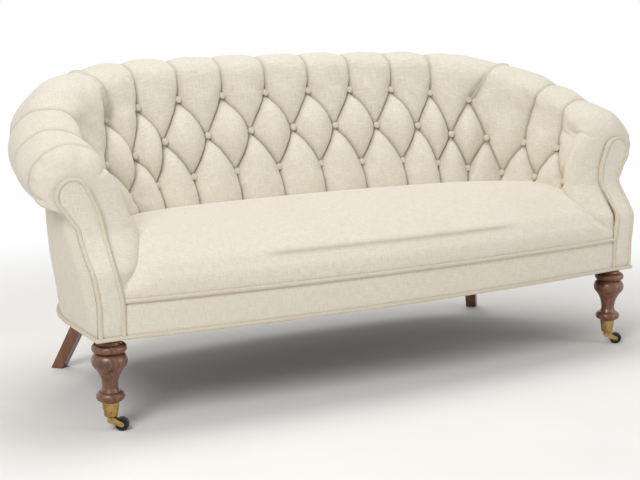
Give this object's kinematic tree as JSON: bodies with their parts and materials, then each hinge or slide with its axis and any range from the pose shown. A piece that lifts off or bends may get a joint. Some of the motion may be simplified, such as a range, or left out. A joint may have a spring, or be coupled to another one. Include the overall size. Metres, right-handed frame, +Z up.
{
  "type": "settee",
  "caption": "Deep-buttoned settee with a curved back rolling down into scroll arms, a fixed stuffed seat, turned front legs on castors and raked back legs.",
  "frame": {"origin": "on the floor in the plane of symmetry, midway between the front and the back", "axes": "+X to the sitter's left, +Y from the front to the back, +Z up"},
  "size_m": [1.9352, 0.7822, 0.8836],
  "materials": {
    "cover_cloth": "pale woven linen",
    "piping_cloth": "the same linen on the bias",
    "button_cloth": "the same linen",
    "leg_wood": "satin polish",
    "frame_wood": "raw",
    "brass": "satin",
    "castor_wheel": "satin black",
    "steel": "plain",
    "hessian": "coarse weave",
    "dust_cloth": "plain"
  },
  "bodies": {
    "settee": {"front_seat_rail": "frame_wood", "back_seat_rail": "frame_wood", "left_side_rail": "frame_wood", "right_side_rail": "frame_wood", "seat_stretchers": "frame_wood", "corner_blocks": "frame_wood", "frame_tenons": "frame_wood", "left_arm_post": "frame_wood", "right_arm_post": "frame_wood", "back_top_rail": "frame_wood", "left_arm_rail": "frame_wood", "right_arm_rail": "frame_wood", "back_uprights": "frame_wood", "back_stuffing_rail": "frame_wood", "left_stuffing_rail": "frame_wood", "right_stuffing_rail": "frame_wood", "seat_springs": "steel", "spring_clips": "steel", "spring_ties": "steel", "back_leg_bolts": "steel", "spring_hessian": "hessian", "dust_cover": "dust_cloth", "seat_pad": "cover_cloth", "front_border": "cover_cloth", "inside_back_pad": "cover_cloth", "left_arm_pad": "cover_cloth", "right_arm_pad": "cover_cloth", "outside_back_cover": "cover_cloth", "left_outside_cover": "cover_cloth", "right_outside_cover": "cover_cloth", "left_arm_facing": "cover_cloth", "right_arm_facing": "cover_cloth", "seat_piping": "piping_cloth", "base_piping": "piping_cloth", "left_facing_piping": "piping_cloth", "right_facing_piping": "piping_cloth", "back_buttons": "button_cloth", "left_arm_buttons": "button_cloth", "right_arm_buttons": "button_cloth", "left_front_leg": "leg_wood", "right_front_leg": "leg_wood", "left_back_leg": "leg_wood", "right_back_leg": "leg_wood", "left_castor_cup": "brass", "right_castor_cup": "brass", "left_cup_screws": "brass", "right_cup_screws": "brass"},
    "left_castor_horn": {"left_castor_horn": "brass", "left_castor_axle": "steel"},
    "left_castor_wheel": {"left_castor_wheel": "castor_wheel"},
    "right_castor_horn": {"right_castor_horn": "brass", "right_castor_axle": "steel"},
    "right_castor_wheel": {"right_castor_wheel": "castor_wheel"}
  },
  "joints": [
    {"name": "left_castor_swivel", "type": "hinge", "parent": "settee", "child": "left_castor_horn", "pos_m": [-0.814, -0.3, 0.041], "axis": [0, 0, 1], "continuous": true},
    {"name": "left_wheel_roll", "type": "hinge", "parent": "left_castor_horn", "child": "left_castor_wheel", "pos_m": [-0.79062, -0.3135, 0.0175], "axis": [-0.5, -0.866, 0], "continuous": true},
    {"name": "right_castor_swivel", "type": "hinge", "parent": "settee", "child": "right_castor_horn", "pos_m": [0.814, -0.3, 0.041], "axis": [0, 0, 1], "continuous": true},
    {"name": "right_wheel_roll", "type": "hinge", "parent": "right_castor_horn", "child": "right_castor_wheel", "pos_m": [0.83738, -0.3135, 0.0175], "axis": [-0.5, -0.866, 0], "continuous": true}
  ]
}
